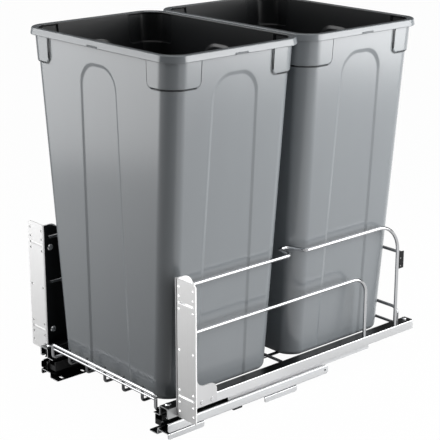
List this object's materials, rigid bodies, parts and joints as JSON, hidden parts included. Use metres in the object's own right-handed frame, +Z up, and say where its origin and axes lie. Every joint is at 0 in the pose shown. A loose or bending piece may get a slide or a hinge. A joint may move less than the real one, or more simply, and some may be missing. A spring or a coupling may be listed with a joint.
{
  "type": "pull-out waste bin unit",
  "caption": "Under-cabinet pull-out waste unit: tapered bins in a chromed wire basket on telescopic ball slides, with door brackets, saddle feet and soft-close units.",
  "frame": {"origin": "bottom centre of the unit's bounding box, on the cabinet floor", "axes": "+X to the user's right, +Y into the cabinet (the unit pulls out towards -Y), +Z up"},
  "size_m": [0.429, 0.559, 0.588],
  "materials": {
    "bin_plastic": "moulded grey polypropylene, satin gloss",
    "chromed_wire": "bright chromed steel wire",
    "channel_steel": "polished chromed steel strip",
    "bracket_steel": "light satin steel",
    "rail_steel": "zinc-plated steel",
    "cage_steel": "greased steel",
    "ball_steel": "polished steel",
    "damper_steel": "bright plated steel",
    "screw_steel": "zinc-plated steel",
    "black_plastic": "black moulded plastic"
  },
  "bodies": {
    "base": {"left_base_rail": "rail_steel", "left_front_foot": "rail_steel", "left_rear_foot": "rail_steel", "left_soft_close_housing": "black_plastic", "left_damper_cylinder": "damper_steel", "right_base_rail": "rail_steel", "right_front_foot": "rail_steel", "right_rear_foot": "rail_steel", "right_soft_close_housing": "black_plastic", "right_damper_cylinder": "damper_steel", "foot_rivets": "screw_steel", "rail_support_pads": "black_plastic"},
    "carriage": {"left_side_channel": "channel_steel", "left_drawer_member": "rail_steel", "left_frame_arm": "bracket_steel", "left_door_bracket": "bracket_steel", "left_upper_guard_wire": "chromed_wire", "left_lower_guard_wire": "chromed_wire", "left_rear_clip": "bracket_steel", "right_side_channel": "channel_steel", "right_drawer_member": "rail_steel", "right_frame_arm": "bracket_steel", "right_door_bracket": "bracket_steel", "right_upper_guard_wire": "chromed_wire", "right_lower_guard_wire": "chromed_wire", "right_rear_clip": "bracket_steel", "channel_screws": "screw_steel", "bracket_screws": "screw_steel", "arm_rivets": "screw_steel", "soft_close_catches": "rail_steel", "basket_rim_wire": "chromed_wire", "floor_wire_far_left": "chromed_wire", "floor_wire_left": "chromed_wire", "floor_wire_centre": "chromed_wire", "floor_wire_right": "chromed_wire", "floor_wire_far_right": "chromed_wire", "front_lower_wire": "chromed_wire", "bin_divider_wire": "chromed_wire", "rear_floor_wire": "chromed_wire", "rear_lower_wire": "chromed_wire", "rear_upper_wire": "chromed_wire"},
    "left_middle": {"left_lower_runner": "rail_steel", "left_middle_rail": "rail_steel"},
    "left_lower_cage": {"left_lower_ball_cage": "cage_steel", "left_lower_balls": "ball_steel"},
    "left_upper_cage": {"left_upper_ball_cage": "cage_steel", "left_upper_balls": "ball_steel"},
    "left_slider": {"left_soft_close_slider": "black_plastic", "left_damper_rod": "damper_steel"},
    "right_middle": {"right_lower_runner": "rail_steel", "right_middle_rail": "rail_steel"},
    "right_lower_cage": {"right_lower_ball_cage": "cage_steel", "right_lower_balls": "ball_steel"},
    "right_upper_cage": {"right_upper_ball_cage": "cage_steel", "right_upper_balls": "ball_steel"},
    "right_slider": {"right_soft_close_slider": "black_plastic", "right_damper_rod": "damper_steel"},
    "front_bin": {"front_bin": "bin_plastic"},
    "rear_bin": {"rear_bin": "bin_plastic"}
  },
  "joints": [
    {"name": "pull_out", "type": "slide", "parent": "base", "child": "carriage", "axis": [0, -1, 0], "range_m": [0, 0.508]},
    {"name": "left_middle_slide", "type": "slide", "parent": "base", "child": "left_middle", "axis": [0, -1, 0], "range_m": [0, 0.254]},
    {"name": "left_lower_cage_slide", "type": "slide", "parent": "base", "child": "left_lower_cage", "axis": [0, -1, 0], "range_m": [0, 0.127]},
    {"name": "left_upper_cage_slide", "type": "slide", "parent": "left_middle", "child": "left_upper_cage", "axis": [0, -1, 0], "range_m": [0, 0.127]},
    {"name": "left_soft_close_slide", "type": "slide", "parent": "base", "child": "left_slider", "axis": [0, -1, 0], "range_m": [0, 0.03]},
    {"name": "right_middle_slide", "type": "slide", "parent": "base", "child": "right_middle", "axis": [0, -1, 0], "range_m": [0, 0.254]},
    {"name": "right_lower_cage_slide", "type": "slide", "parent": "base", "child": "right_lower_cage", "axis": [0, -1, 0], "range_m": [0, 0.127]},
    {"name": "right_upper_cage_slide", "type": "slide", "parent": "right_middle", "child": "right_upper_cage", "axis": [0, -1, 0], "range_m": [0, 0.127]},
    {"name": "right_soft_close_slide", "type": "slide", "parent": "base", "child": "right_slider", "axis": [0, -1, 0], "range_m": [0, 0.03]},
    {"name": "front_bin_lift", "type": "slide", "parent": "carriage", "child": "front_bin", "axis": [0, 0, 1], "range_m": [0, 0.25]},
    {"name": "rear_bin_lift", "type": "slide", "parent": "carriage", "child": "rear_bin", "axis": [0, 0, 1], "range_m": [0, 0.25]}
  ],
  "couplings": [
    {"joint": "left_middle_slide", "follows": "pull_out", "ratio": 0.5},
    {"joint": "left_lower_cage_slide", "follows": "pull_out", "ratio": 0.25},
    {"joint": "left_upper_cage_slide", "follows": "pull_out", "ratio": 0.25},
    {"joint": "left_soft_close_slide", "follows": "pull_out", "ratio": 0.059},
    {"joint": "right_middle_slide", "follows": "pull_out", "ratio": 0.5},
    {"joint": "right_lower_cage_slide", "follows": "pull_out", "ratio": 0.25},
    {"joint": "right_upper_cage_slide", "follows": "pull_out", "ratio": 0.25},
    {"joint": "right_soft_close_slide", "follows": "pull_out", "ratio": 0.059}
  ]
}
